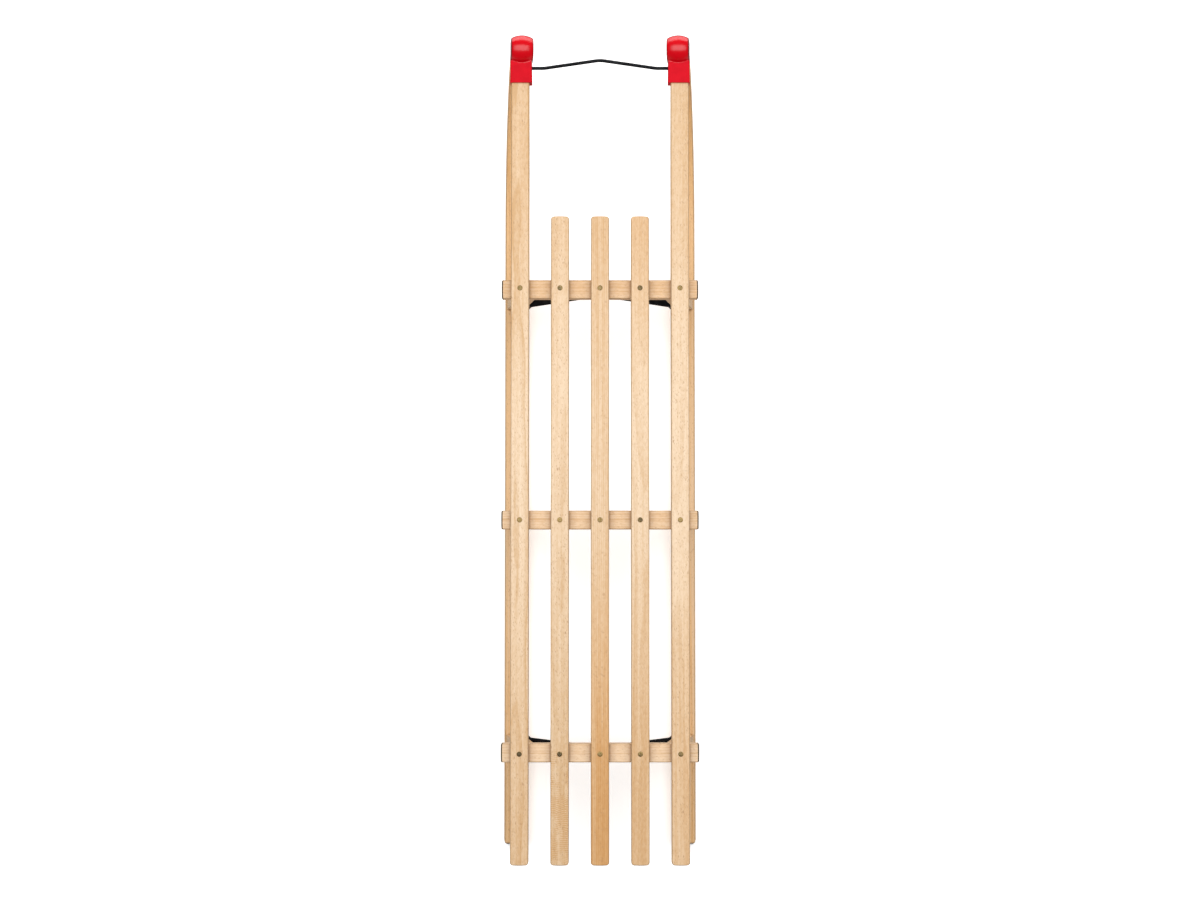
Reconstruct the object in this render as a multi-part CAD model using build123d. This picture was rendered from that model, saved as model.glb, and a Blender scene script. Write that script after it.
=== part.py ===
from build123d import *
import math
import os

# A wooden sled with two bent runners, six splayed legs, three crossbeams, a seat of five
# bars, three steel braces and a pull bow held in two plastic tip caps.
# The origin is on the floor, midway between the rear ends and the tips of the sled.
# +Y points to the upturned front, +X to the rider's right, +Z up. All sizes are in mm.

# ---------------------------------------------------------------- driving dimensions

sled_length = 1100.0  # from the seat's rear ends to the front of the tip caps
seat_height = 215.0  # from the floor to the top of the seat bars
runner_track = 242.9  # between the middles of the two runners, on the floor

# Seat bars: two long rails outside, three shorter slats between them
bar_width = 24.0
bar_thickness = 16.0
bar_pitch = 53.1  # from the middle of one bar to the middle of the next
slat_length = 857.0
bar_corner_radius = 4.0  # of the ends, seen from above
bar_end_crown = 0.8  # how far an end bulges past its corners
bar_edge_radius = 1.6

# Crossbeams
beam_width = 25.0
beam_height = 16.0
beam_overhang = 13.0  # past the rails' outer faces
beam_spacing = 307.7
front_beam_setback = 96.0  # from the slats' front ends to the middle of the front beam
beam_corner_radius = 2.2
beam_end_crown = 0.2
beam_edge_radius = 1.8

# Legs
leg_width = 25.0
leg_thickness = 16.0
leg_top_inset = 10.9  # the leg's top stands this far inside the rail's middle
leg_foot_inset = 0.4  # the leg's foot stands this far inside the runner's middle
leg_edge_radius = 1.5

# Runners and their steel soles
runner_width = 28.0
runner_height = 25.0
runner_tip_inset = 2.3  # the runner's tip stands this far inside the rail's middle
bend_radius = 200.0  # of the front bend, on its inner side
heel_radius = 3.0
runner_edge_radius = 1.6
tenon_width = 25.0  # of the runner's end, inside its cap
sole_width = 22.0
sole_thickness = 2.0
sole_upturn = 16.0  # how far the sole's strip runs up the runner's rear end

# Tip caps
nose_width = 30.0
nose_radius = 19.0  # at the middle of its width
nose_side_radius = 14.8  # at its two sides
nose_drop = 3.5  # the nose's middle lies this far under the seat's top
skirt_turn = 20.0  # degrees of bend that the nose's skirt follows before it is cut level
sleeve_inner_wall = 3.6  # at the mouth, on the rail's inner side
sleeve_outer_wall = 1.6
sleeve_taper = 0.7  # how much thinner these two walls are at the nose
sleeve_length = 31.4  # over the rail, from the sleeve's mouth to the runner
sleeve_cover = 2.5  # over and under the rail
cap_edge_radius = 1.2

# Pull bow
bow_diameter = 4.5
bow_setback = 10.2  # from the bow's ends to the runner's rear face
bow_drop = 8.0  # from the seat's top down to the bow's middle
bow_straight = 16.0  # of each end, outside its cap
bow_rise = 10.9  # how far the middle lies ahead of the ends
bow_bend_radius = 45.0
bow_seat_depth = 8.0  # of each end, inside the rail

# Braces
brace_width = 20.0
brace_setback = 0.5  # from the beam's middle back to the strap's
brace_thickness = 3.0
brace_flat = 38.0  # of the strap, against the beam
brace_foot_height = 82.0  # from the floor to where the strap meets the leg
brace_tab = 30.0  # of the strap, against the leg
brace_bend_radius = 8.0

# Countersunk holes at the crossings of bars and beams
screw_head_diameter = 7.0
screw_shank_diameter = 4.0
screw_head_depth = 3.0
screw_sink = 0.6  # how far the head sits under the bar's top
screw_hole_depth = 12.0

# Countersunk holes through the soles
sole_hole_diameter = 6.6  # at the strip's outer face
sole_hole_waist = 3.6  # at its inner face
sole_hole_pitch = 160.0  # along the ground, about
sole_hole_margin = 42.0  # from the sled's rear, and from where the bend starts
sole_hole_turns = (40.0, 76.0)  # degrees round the bend

# Small values for the shapes themselves
same_place = 0.01  # two places this near to each other count as one
cutter_excess = 1.0  # how far a cutting shape stands out of what it cuts

# ---------------------------------------------------------------- worked-out places

rear_y = -sled_length / 2
tip_y = sled_length / 2
rail_x = 2 * bar_pitch
rail_inner_x = rail_x - bar_width / 2
tip_x = rail_x - runner_tip_inset
bar_base = seat_height - bar_thickness
slat_front_y = rear_y + slat_length

beam_base = bar_base - beam_height
beam_reach = rail_x + bar_width / 2 + beam_overhang
front_beam_y = slat_front_y - front_beam_setback
beam_places = {
    "front": front_beam_y,
    "middle": front_beam_y - beam_spacing,
    "rear": front_beam_y - 2 * beam_spacing,
}
sides = {"left": -1, "right": 1}

runner_top = sole_thickness + runner_height
bend_z = runner_top + bend_radius
middle_bend_radius = bend_radius + runner_height / 2
outer_bend_radius = bend_radius + runner_height
nose_z = seat_height - nose_drop
bow_z = seat_height - bow_drop
cap_base = bar_base - sleeve_cover


def bend_reach(radius, z):
    """How far ahead of the bend's middle an arc of this radius lies at height z."""
    below = max(bend_z - z, 0.0)
    return math.sqrt(radius**2 - below**2)


nose_y = tip_y - nose_radius
bend_y = nose_y - bend_reach(middle_bend_radius, nose_z)
rail_front_y = bend_y + bend_reach(bend_radius, bar_base)
sleeve_mouth_y = rail_front_y - sleeve_length
bow_y = rail_front_y - bow_setback


def runner_x(z):
    """The middle of the right runner, which leans out from its rail down to the floor."""
    return tip_x + (runner_track / 2 - tip_x) * (seat_height - z) / seat_height


leg_top_x = rail_x - leg_top_inset
leg_foot_x = runner_x(runner_top) - leg_foot_inset
leg_rise = beam_base - runner_top
leg_splay = (leg_foot_x - leg_top_x) / leg_rise
leg_half = leg_width / 2 * math.hypot(1.0, leg_splay)


def leg_inner_x(z):
    """The inner face of the right legs at height z."""
    return leg_top_x + (beam_base - z) * leg_splay - leg_half


# ---------------------------------------------------------------- shared shapes


def on_side(solid, side):
    """A shape made for the right, or its mirror image for the left."""
    return solid if side > 0 else mirror(solid, about=Plane.YZ)


def lengthwise(edge):
    """Whether an edge runs along the sled, rather than across it or upwards."""
    direction = edge % 0.5
    return abs(direction.Y) > math.hypot(direction.X, direction.Z)


def upright(edge):
    """Whether an edge stands nearer to upright than to level."""
    direction = edge % 0.5
    return abs(direction.Z) > math.hypot(direction.X, direction.Y)


def soften(solid, base, top, radius):
    """Rounds the edges round the bottom and top faces of a bar."""
    edges = solid.edges().filter_by(lambda e: abs(e.center().Z - base) < same_place)
    edges += solid.edges().filter_by(lambda e: abs(e.center().Z - top) < same_place)
    return fillet(edges, radius)


def bar_outline(start, end, width, corner, crown, square_end=False):
    """Plan outline of a bar along X from start to end, its ends slightly bulged."""
    half = width / 2
    near = ThreePointArc((start + crown, half), (start, 0), (start + crown, -half))
    if square_end:
        far = Line((end, -half), (end, half))
        reach = end
    else:
        far = ThreePointArc((end - crown, -half), (end, 0), (end - crown, half))
        reach = end - crown
    outline = [
        near,
        Line((start + crown, -half), (reach, -half)),
        far,
        Line((reach, half), (start + crown, half)),
    ]
    face = make_face(outline)
    corners = face.vertices().filter_by(lambda v: not square_end or v.X < (start + end) / 2)
    return fillet(corners, corner)


def side_face(edges):
    """A face drawn in Y and Z, standing in the plane X = 0."""
    return Plane.YZ * make_face(edges)


def leaning_slab(width, low, high):
    """A slab of this width that follows the right runner's lean between two heights."""
    half = width / 2
    corners = [
        (runner_x(low) - half, low),
        (runner_x(low) + half, low),
        (runner_x(high) + half, high),
        (runner_x(high) - half, high),
        (runner_x(low) - half, low),
    ]
    face = Plane.XZ * make_face(Polyline(*corners))
    return extrude(face, amount=sled_length, both=True)


# ---------------------------------------------------------------- seat


def screw_hole(x, y):
    """A countersunk hole in a bar's top, where it crosses a beam."""
    head = screw_head_diameter / 2
    shank = screw_shank_diameter / 2
    cone_top = seat_height - screw_sink
    cone_base = cone_top - screw_head_depth
    bottom = seat_height - screw_hole_depth
    above = seat_height + cutter_excess
    section = Polyline(
        (0, above),
        (head, above),
        (head, cone_top),
        (shank, cone_base),
        (shank, bottom),
        (0, bottom),
        (0, above),
    )
    return Pos(x, y, 0) * revolve(Plane.XZ * make_face(section), Axis.Z)


def seat_bar(x, front_y, square_end=False):
    """A bar from the sled's rear to front_y, with a hole over each beam."""
    outline = bar_outline(
        rear_y, front_y, bar_width, bar_corner_radius, bar_end_crown, square_end
    )
    bar = Pos(x, 0, bar_base) * extrude(Rot(0, 0, 90) * outline, amount=bar_thickness)
    bar = soften(bar, bar_base, seat_height, bar_edge_radius)
    for beam_y in beam_places.values():
        bar -= screw_hole(x, beam_y)
    return bar


def crossbeam(y):
    """A beam across the sled, under the seat bars."""
    outline = bar_outline(
        -beam_reach, beam_reach, beam_width, beam_corner_radius, beam_end_crown
    )
    beam = Pos(0, y, beam_base) * extrude(outline, amount=beam_height)
    return soften(beam, beam_base, bar_base, beam_edge_radius)


# ---------------------------------------------------------------- legs and runners


def leg(y):
    """A right leg, from the runner's top up to the beam, cut level at both ends."""
    corners = [
        (leg_foot_x - leg_half, runner_top),
        (leg_foot_x + leg_half, runner_top),
        (leg_top_x + leg_half, beam_base),
        (leg_top_x - leg_half, beam_base),
        (leg_foot_x - leg_half, runner_top),
    ]
    face = Plane.XZ * make_face(Polyline(*corners))
    post = Pos(0, y, 0) * extrude(face, amount=leg_thickness / 2, both=True)
    return fillet(post.edges().filter_by(upright), leg_edge_radius)


def runner():
    """The right runner: straight on the ground, bent up in front, leaning to its rail."""
    base = sole_thickness
    high = bend_z + runner_height
    inner_y = bend_y + bend_radius
    outer_y = bend_y + outer_bend_radius
    heel_y = rear_y + sole_thickness
    profile = [
        Line((heel_y, runner_top), (heel_y, base)),
        Line((heel_y, base), (bend_y, base)),
        CenterArc((bend_y, bend_z), outer_bend_radius, 270, 90),
        Line((outer_y, bend_z), (outer_y, high)),
        Line((outer_y, high), (inner_y, high)),
        Line((inner_y, high), (inner_y, bend_z)),
        CenterArc((bend_y, bend_z), bend_radius, 270, 90),
        Line((bend_y, runner_top), (heel_y, runner_top)),
    ]
    blank = extrude(side_face(profile), amount=sled_length, both=True)
    body = blank & leaning_slab(runner_width, 0, cap_base)
    end_edge = 1.5 * max(runner_width, runner_height)
    corners = body.edges().filter_by(lambda e: e.length > end_edge)
    body = fillet(corners, runner_edge_radius)
    heel = body.edges().filter_by(Axis.X).sort_by_distance((runner_x(base), heel_y, base))[0]
    body = fillet(heel, heel_radius)
    return body + (blank & leaning_slab(tenon_width, cap_base, seat_height))


def sole_hole():
    """A countersunk cutter through the strip, its mouth on the origin, opening along -Z."""
    mouth = sole_hole_diameter / 2
    waist = sole_hole_waist / 2
    over = cutter_excess
    section = Polyline(
        (0, -over),
        (mouth, -over),
        (mouth, 0),
        (waist, sole_thickness),
        (waist, sole_thickness + over),
        (0, sole_thickness + over),
        (0, -over),
    )
    return revolve(Plane.XZ * make_face(section), Axis.Z)


def sole_holes():
    """The holes along the right sole: on the ground, up the bend and in the upturned heel."""
    cutter = sole_hole()
    first_y = rear_y + sole_hole_margin
    run = bend_y - sole_hole_margin - first_y
    steps = max(round(run / sole_hole_pitch), 1)
    holes = [Pos(runner_x(0), first_y + run * i / steps, 0) * cutter for i in range(steps + 1)]
    outside = outer_bend_radius + sole_thickness
    for turn in sole_hole_turns:
        angle = math.radians(turn)
        z = bend_z - outside * math.cos(angle)
        place = Pos(runner_x(z), bend_y + outside * math.sin(angle), z)
        holes.append(place * Rot(turn, 0, 0) * cutter)
    heel_z = sole_thickness + (heel_radius + sole_upturn) / 2
    holes.append(Pos(runner_x(heel_z), rear_y, heel_z) * Rot(-90, 0, 0) * cutter)
    return holes


def sole():
    """The steel strip under the right runner, from its heel up to the cap's skirt."""
    bend = heel_radius + sole_thickness
    heel_y = rear_y + bend
    outside = outer_bend_radius + sole_thickness
    upturn_z = sole_thickness + sole_upturn
    high = bend_z + runner_height
    inside = [
        Line((rear_y + sole_thickness, upturn_z), (rear_y + sole_thickness, bend)),
        CenterArc((heel_y, bend), heel_radius, 180, 90),
        Line((heel_y, sole_thickness), (bend_y, sole_thickness)),
        CenterArc((bend_y, bend_z), outer_bend_radius, 270, 90),
        Line((bend_y + outer_bend_radius, bend_z), (bend_y + outer_bend_radius, high)),
    ]
    outline = [
        *inside,
        Line((bend_y + outer_bend_radius, high), (bend_y + outside, high)),
        Line((bend_y + outside, high), (bend_y + outside, bend_z)),
        CenterArc((bend_y, bend_z), outside, 270, 90),
        Line((bend_y, 0), (heel_y, 0)),
        CenterArc((heel_y, bend), bend, 180, 90),
        Line((rear_y, bend), (rear_y, upturn_z)),
        Line((rear_y, upturn_z), (rear_y + sole_thickness, upturn_z)),
    ]
    strip = extrude(side_face(outline), amount=sled_length, both=True)
    strip &= leaning_slab(sole_width, 0, cap_base)
    for hole in sole_holes():
        strip -= hole
    return strip


# ---------------------------------------------------------------- tip cap and pull bow


def crowned_half():
    """Half of the nose's section, from its middle out, crowned across its width."""
    half = nose_width / 2
    side = nose_side_radius
    crown = ThreePointArc((-half, side), (0, nose_radius), (half, side))
    sides = Polyline((half, side), (half, 0), (-half, 0), (-half, side))
    face = make_face([crown, sides])
    return fillet(face.vertices().filter_by(lambda v: v.Y > side / 2), cap_edge_radius)


def cap_nose():
    """A crowned dome over the runner's end and, under it, a socket round the bend."""
    angle = math.asin(max(bend_z - nose_z, 0.0) / middle_bend_radius)
    across = Plane(
        origin=(0, nose_y, nose_z),
        x_dir=(1, 0, 0),
        z_dir=(0, math.sin(angle), math.cos(angle)),
    )
    half_section = crowned_half()
    section = across * (half_section + mirror(half_section, about=Plane.XZ))
    dome = revolve(across * half_section, Axis(across.origin, (1, 0, 0)), revolution_arc=180)
    straight = max(nose_z - bend_z, 0.0)
    if straight > 0:
        dome += extrude(section, amount=-straight)
    bend = Pos(0, 0, -straight) * section
    turn = Axis((0, bend_y, bend_z), (1, 0, 0))
    return dome + revolve(bend, turn, revolution_arc=-skirt_turn)


def cap_sleeve():
    """A flat-topped sleeve over the right rail's end, a little wider at its mouth."""
    low = cap_base
    high = seat_height + sleeve_cover
    inner_x = rail_inner_x - sleeve_inner_wall
    outer_x = rail_x + bar_width / 2 + sleeve_outer_wall
    corners = [
        (inner_x, sleeve_mouth_y),
        (outer_x, sleeve_mouth_y),
        (outer_x - sleeve_taper, nose_y),
        (inner_x + sleeve_taper, nose_y),
        (inner_x, sleeve_mouth_y),
    ]
    block = Pos(0, 0, low) * extrude(make_face(Polyline(*corners)), amount=high - low)
    return fillet(block.edges().filter_by(lengthwise), cap_edge_radius)


def tip_cap(rail, right_runner, bow):
    """The right cap, hollowed by the rail, the runner and the bow that it holds."""
    lean = math.degrees(math.atan2(runner_x(0) - tip_x, seat_height))
    place = Pos(runner_x(nose_z), 0, nose_z) * Rot(0, -lean, 0) * Pos(0, 0, -nose_z)
    nose = split(place * cap_nose(), bisect_by=Plane.XY.offset(cap_base), keep=Keep.TOP)
    return nose + cap_sleeve() - rail - right_runner - bow


def pull_bow():
    """A round steel bow between the caps, its middle bent forward to a blunt point."""
    end_x = rail_inner_x + bow_seat_depth
    bend_x = rail_inner_x - sleeve_inner_wall - bow_straight
    path = FilletPolyline(
        (-end_x, bow_y),
        (-bend_x, bow_y),
        (0, bow_y + bow_rise),
        (bend_x, bow_y),
        (end_x, bow_y),
        radius=bow_bend_radius,
    )
    path = Pos(0, 0, bow_z) * path
    start = Plane(origin=path @ 0, z_dir=path % 0)
    return sweep(start * Circle(bow_diameter / 2), path=path)


# ---------------------------------------------------------------- braces


def brace(y):
    """A strap under a beam, bent down both ways to the legs' inner faces."""
    tab_base = brace_foot_height - brace_tab
    flat = brace_flat / 2
    half_line = [
        (flat, beam_base),
        (leg_inner_x(brace_foot_height), brace_foot_height),
        (leg_inner_x(tab_base), tab_base),
    ]
    mirrored = [(-x, z) for x, z in reversed(half_line)]
    outer = FilletPolyline(*mirrored, *half_line, radius=brace_bend_radius)
    band = make_face(offset(outer, amount=brace_thickness, side=Side.RIGHT))
    strap = extrude(Plane.XZ * band, amount=brace_width / 2, both=True)
    return Pos(0, y - brace_setback, 0) * strap


# ---------------------------------------------------------------- assembly


def build():
    """Every piece of the sled, by name."""
    pieces = {}
    right_rail = seat_bar(rail_x, rail_front_y, square_end=True)
    right_runner = runner()
    right_sole = sole()
    bow = pull_bow()
    right_rail -= bow
    right_cap = tip_cap(right_rail, right_runner, bow)
    for name, side in sides.items():
        pieces[f"rail_{name}"] = on_side(right_rail, side)
        pieces[f"runner_{name}"] = on_side(right_runner, side)
        pieces[f"runner_sole_{name}"] = on_side(right_sole, side)
        pieces[f"tip_cap_{name}"] = on_side(right_cap, side)
    for name, step in {"left": -1, "centre": 0, "right": 1}.items():
        pieces[f"slat_{name}"] = seat_bar(step * bar_pitch, slat_front_y)
    for place, y in beam_places.items():
        pieces[f"crossbeam_{place}"] = crossbeam(y)
        pieces[f"brace_{place}"] = brace(y)
        for name, side in sides.items():
            pieces[f"leg_{place}_{name}"] = on_side(leg(y), side)
    pieces["pull_bow"] = bow
    return pieces


os.makedirs("parts", exist_ok=True)
for piece_name, piece in build().items():
    export_step(piece, f"parts/{piece_name}.step")
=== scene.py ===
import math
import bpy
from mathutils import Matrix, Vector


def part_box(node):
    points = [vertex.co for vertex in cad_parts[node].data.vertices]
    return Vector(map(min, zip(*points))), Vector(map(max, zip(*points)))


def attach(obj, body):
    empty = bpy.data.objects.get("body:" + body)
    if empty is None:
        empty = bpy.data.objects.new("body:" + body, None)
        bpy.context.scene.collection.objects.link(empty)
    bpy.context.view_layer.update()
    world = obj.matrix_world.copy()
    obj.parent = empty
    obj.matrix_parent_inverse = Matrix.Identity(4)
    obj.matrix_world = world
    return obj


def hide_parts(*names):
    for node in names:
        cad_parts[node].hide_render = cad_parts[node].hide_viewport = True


bl_info = {
    "name": "Wooden Sled Finish",
    "version": (1, 0, 0),
    "blender": (4, 5, 0),
    "location": "3D View > Sidebar > Sled",
    "description": "Dresses the wooden sled in beech, plastic and steel, with its screws and a stage",
    "category": "Object",
}

import bmesh
import bpy
from bpy.props import FloatProperty, FloatVectorProperty, IntProperty, PointerProperty
from bpy.types import NodeSocket, Operator, Panel, PropertyGroup
from mathutils import Matrix, Vector

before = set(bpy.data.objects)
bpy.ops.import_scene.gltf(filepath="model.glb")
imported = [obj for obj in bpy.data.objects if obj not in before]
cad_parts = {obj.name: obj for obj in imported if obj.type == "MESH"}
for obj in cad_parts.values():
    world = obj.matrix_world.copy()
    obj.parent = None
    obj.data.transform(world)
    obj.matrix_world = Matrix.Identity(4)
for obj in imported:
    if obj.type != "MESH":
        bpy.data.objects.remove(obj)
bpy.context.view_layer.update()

BODY = "root"
SIDES = {"left": -1, "right": 1}
BEAMS = ("front", "middle", "rear")
BARS = ("rail_left", "slat_left", "slat_centre", "slat_right", "rail_right")

SAME_PLACE = 1e-6  # metres, under which two points count as one
SAME_ON_CUT = 1e-4  # the same, after a cut through the caps' fine mesh
EDGE_STEPS = 4  # faces across a rounded plastic edge
NOSE_SIDES = 96
NOSE_RINGS = 10
SCREW_SIDES = 40
FLAT_CROSS = (0.52, 0.14, 0.24)  # span, width and depth of the recess in a flat head, by its diameter
ROUND_CROSS = (0.46, 0.12, 0.20)  # the same in a round head
KEPT_DETAIL = 0.35  # share of the softened cap's faces that stays

# ---------------------------------------------------------------- settings


def length(name, description, default):
    """A size in metres that a user may change."""
    return FloatProperty(name=name, description=description, default=default, unit="LENGTH", precision=5)


def share(name, description, default):
    """A number from 0 to 1 that a user may change."""
    return FloatProperty(name=name, description=description, default=default, min=0, max=1, subtype="FACTOR")


def angle(name, description, degrees):
    """An angle that a user may change."""
    return FloatProperty(name=name, description=description, default=math.radians(degrees), subtype="ANGLE")


def power(name, description, default):
    """The power of a light that a user may change."""
    return FloatProperty(name=name, description=description, default=default, unit="POWER")


def colour(name, description, default):
    """A linear colour that a user may change."""
    look = dict(subtype="COLOR", size=3, min=0, max=1)
    return FloatVectorProperty(name=name, description=description, default=default, **look)


class SledWood(PropertyGroup):
    """Beech and its figure."""

    light: colour("Early wood", "Colour between the growth lines", (0.70, 0.545, 0.385))
    dark: colour("Late wood", "Colour of the growth lines and the darker streaks", (0.51, 0.315, 0.150))
    heart: colour("Heartwood", "Tint of the redder wood", (0.94, 0.760, 0.520))
    fleck: colour("Flecks", "Colour of the short ray flecks", (0.34, 0.185, 0.085))
    # Painted shade along the rounded edges, which turn away from the light.
    rim: colour("Rims", "Colour of the rounded edges", (0.22, 0.140, 0.075))
    # Painted shade: the colour that darkens the wood close beside another piece.
    corner: colour("Corners", "Colour close beside another piece", (0.32, 0.155, 0.055))
    end: colour("End grain", "Colour of the sawn ends", (0.38, 0.225, 0.110))
    # Darker end grain with painted shade, round the crossbeams' ends.
    end_rim_grain_and_shade: colour("End rims", "Colour of the edges round the crossbeams' ends", (0.030, 0.020, 0.012))
    ring: length("Ring spacing", "Distance between growth lines", 0.0026)
    fleck_width: length("Fleck width", "Width of the space for a ray fleck", 0.0015)
    fleck_length: length("Fleck length", "Length of the space for a ray fleck, along the grain", 0.0050)
    curl: length("Curl", "Distance between the waves of a wavy figure", 0.0027)
    gloss: share("Roughness", "Roughness of the clear lacquer", 0.42)


class SledPlastic(PropertyGroup):
    """The red tip caps."""

    red: colour("Red", "Colour of the moulded caps", (0.55, 0.003, 0.012))
    nose_red: colour("Nose red", "Colour of the glossy nose", (0.50, 0.0, 0.005))
    nose_roughness: share("Nose roughness", "Roughness of the glossy nose", 0.22)
    sleeve_roughness: share("Sleeve roughness", "Roughness of the textured sleeve", 0.45)
    texture: length("Texture size", "Size of the sleeve's moulded texture", 0.0007)
    nose_width: length("Nose width", "Width of the nose", 0.030)
    nose_radius: length("Nose radius", "Radius of the nose at the middle of its width", 0.019)
    nose_side: length("Nose side radius", "Radius of the nose at its two sides", 0.0148)
    nose_edge: length("Nose edge", "Radius of the nose's and the sleeve's outer edges", 0.0016)
    wall_inner: length("Inner wall", "Thickness of the sleeve's wall on the rail's inner side", 0.0036)
    wall_outer: length("Outer wall", "Thickness of the sleeve's wall on the rail's outer side", 0.0016)
    wall_over: length("Upper wall", "Thickness of the sleeve over the rail", 0.0025)
    taper: length("Taper", "How much narrower each side of the sleeve is at the nose", 0.0007)
    grid: length("Grid", "Size of the grid that the caps are softened on", 0.0005)
    softness: IntProperty(name="Softness", description="How often the caps are smoothed", default=10, min=1)


class SledSteel(PropertyGroup):
    """Black and bright steel."""

    black: colour("Black coat", "Colour of the bow and the braces", (0.006, 0.0065, 0.0075))
    bright: colour("Bright steel", "Colour of the soles", (0.56, 0.56, 0.57))
    zinc: colour("Zinc", "Colour of the yellow zinc on the screws", (0.25, 0.170, 0.06))


class SledScrews(PropertyGroup):
    """Sizes of the screws."""

    seat_head: length("Seat screw head", "Diameter of the countersunk heads in the seat", 0.0067)
    seat_sink: length("Seat screw sink", "How far those heads lie under the seat", 0.0007)
    sole_head: length("Sole screw head", "Diameter of the countersunk heads in the soles", 0.0063)
    sole_sink: length("Sole screw sink", "How far those heads lie inside the soles", 0.0002)
    brace_head: length("Brace screw head", "Diameter of the round heads on the braces", 0.0078)
    sole_first: length("First sole screw", "From the sled's rear to the first sole screw", 0.042)
    sole_pitch: length("Sole screw pitch", "About how far apart the sole screws are", 0.160)
    sole_bend: length("Sole bend radius", "Radius of the sole's front bend, outside", 0.227)
    bend_screw_low: angle("Lower bend screw", "How far round the bend the first screw is", 40)
    bend_screw_high: angle("Upper bend screw", "How far round the bend the second screw is", 76)
    heel_screw: length("Heel screw", "Height of the screw in the heel", 0.0115)
    beam_screw: length("Beam screw", "From the middle to a brace's screw under the beam", 0.0105)
    tab_screw: length("Tab screw", "From the brace's lowest point to its screw in the leg", 0.015)


class SledStage(PropertyGroup):
    """Floor, lights and camera."""

    floor: length("Floor", "Side of the square floor", 14.0)
    camera_height: length("Camera height", "Height of the camera over the floor", 2.964)
    camera_back: length("Camera setback", "How far the camera stands behind the sled's middle", 0.1287)
    camera_tilt: angle("Camera tilt", "Tilt towards the front", 2.59)
    lens: FloatProperty(name="Lens", description="Focal length in millimetres", default=62.43, min=1)
    key: power("Key light", "Power of the overhead light", 180)
    key_width: length("Key width", "Width of the overhead light", 5.0)
    key_depth: length("Key depth", "Depth of the overhead light", 2.6)
    key_height: length("Key height", "Height of the overhead light", 3.4)
    key_ahead: length("Key place", "How far the overhead light hangs ahead of the sled's middle", 0.75)
    front: power("Front light", "Power of the front light", 60)
    front_away: length("Front light distance", "How far ahead the front light stands", 3.5)
    front_width: length("Front light width", "Width of the front light", 4.0)
    front_height: length("Front light height", "Height of the front light, from the floor", 1.1)
    card: power("Card light", "Power of the card on the floor", 60)
    card_near: length("Card near edge", "Where the card on the floor starts, ahead of the sled's middle", 0.9)
    glow: share("Floor glow", "How much the floor shines by itself, which lightens the shadows", 0.36)
    room: share("Room", "Brightness of the room around", 0.28)


# ---------------------------------------------------------------- node helpers


def fill(tree, node, inputs):
    """Sets a node's inputs to values, or links them to sockets."""
    for name, value in inputs.items():
        if isinstance(value, NodeSocket):
            tree.links.new(value, node.inputs[name])
        else:
            node.inputs[name].default_value = value


def put(tree, kind, inputs=None, **settings):
    """A new shader node of a kind, with its settings and inputs."""
    node = tree.nodes.new(f"ShaderNode{kind}")
    for name, value in settings.items():
        setattr(node, name, value)
    fill(tree, node, inputs or {})
    return node


def maths(tree, operation, *values):
    """The result of a Math node."""
    return put(tree, "Math", dict(enumerate(values)), operation=operation).outputs[0]


def plus(tree, first, second):
    """The sum of two values."""
    return maths(tree, "ADD", first, second)


def minus(tree, first, second):
    """The first value less the second."""
    return maths(tree, "SUBTRACT", first, second)


def times(tree, first, second):
    """The product of two values."""
    return maths(tree, "MULTIPLY", first, second)


def add_up(tree, total, *terms):
    """A total, with each value in terms added to it times its weight."""
    for value, weight in terms:
        total = maths(tree, "MULTIPLY_ADD", value, weight, total)
    return total


def hypotenuse(tree, first, second):
    """The distance that two values at right angles make."""
    return maths(tree, "SQRT", plus(tree, times(tree, first, first), times(tree, second, second)))


def vector_maths(tree, operation, *values, out="Vector"):
    """The result of a Vector Math node."""
    return put(tree, "VectorMath", dict(enumerate(values)), operation=operation).outputs[out]


def split(tree, vector):
    """The three parts of a vector."""
    return put(tree, "SeparateXYZ", {"Vector": vector}).outputs


def join(tree, x, y, z):
    """A vector made of three parts."""
    return put(tree, "CombineXYZ", {"X": x, "Y": y, "Z": z}).outputs["Vector"]


def ramp(tree, value, low, high, low_out=0.0, high_out=1.0):
    """A smooth step from low_out to high_out as value goes from low to high."""
    inputs = {"Value": value, "From Min": low, "From Max": high, "To Min": low_out, "To Max": high_out}
    return put(tree, "MapRange", inputs, interpolation_type="SMOOTHSTEP").outputs["Result"]


def noise(tree, vector, scales, detail=2.0, roughness=0.5):
    """Noise with its own scale along each axis, in cells per metre."""
    stretched = vector_maths(tree, "MULTIPLY", vector, scales)
    inputs = {"Vector": stretched, "Scale": 1.0, "Detail": detail, "Roughness": roughness}
    return put(tree, "TexNoise", inputs, noise_dimensions="3D").outputs["Fac"]


def waver(tree, vector, scales, size):
    """Noise about zero that reaches half of size to either side."""
    return times(tree, minus(tree, noise(tree, vector, scales), 0.5), size)


def mix_value(tree, factor, first, second):
    """The value between two, by a factor."""
    inputs = {"Factor": factor, "A": first, "B": second}
    return put(tree, "Mix", inputs, data_type="FLOAT").outputs["Result"]


def mix_colour(tree, factor, first, second, mode="MIX"):
    """The colour between two, by a factor."""
    node = put(tree, "Mix", data_type="RGBA", blend_type=mode)
    sockets = {"Factor_Float": factor, "A_Color": first, "B_Color": second}
    for socket in node.inputs:
        if socket.identifier in sockets:
            value = sockets[socket.identifier]
            if isinstance(value, NodeSocket):
                tree.links.new(value, socket)
            else:
                socket.default_value = value if isinstance(value, float) else (*value, 1.0)[:4]
    return next(s for s in node.outputs if s.identifier == "Result_Color")


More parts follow.
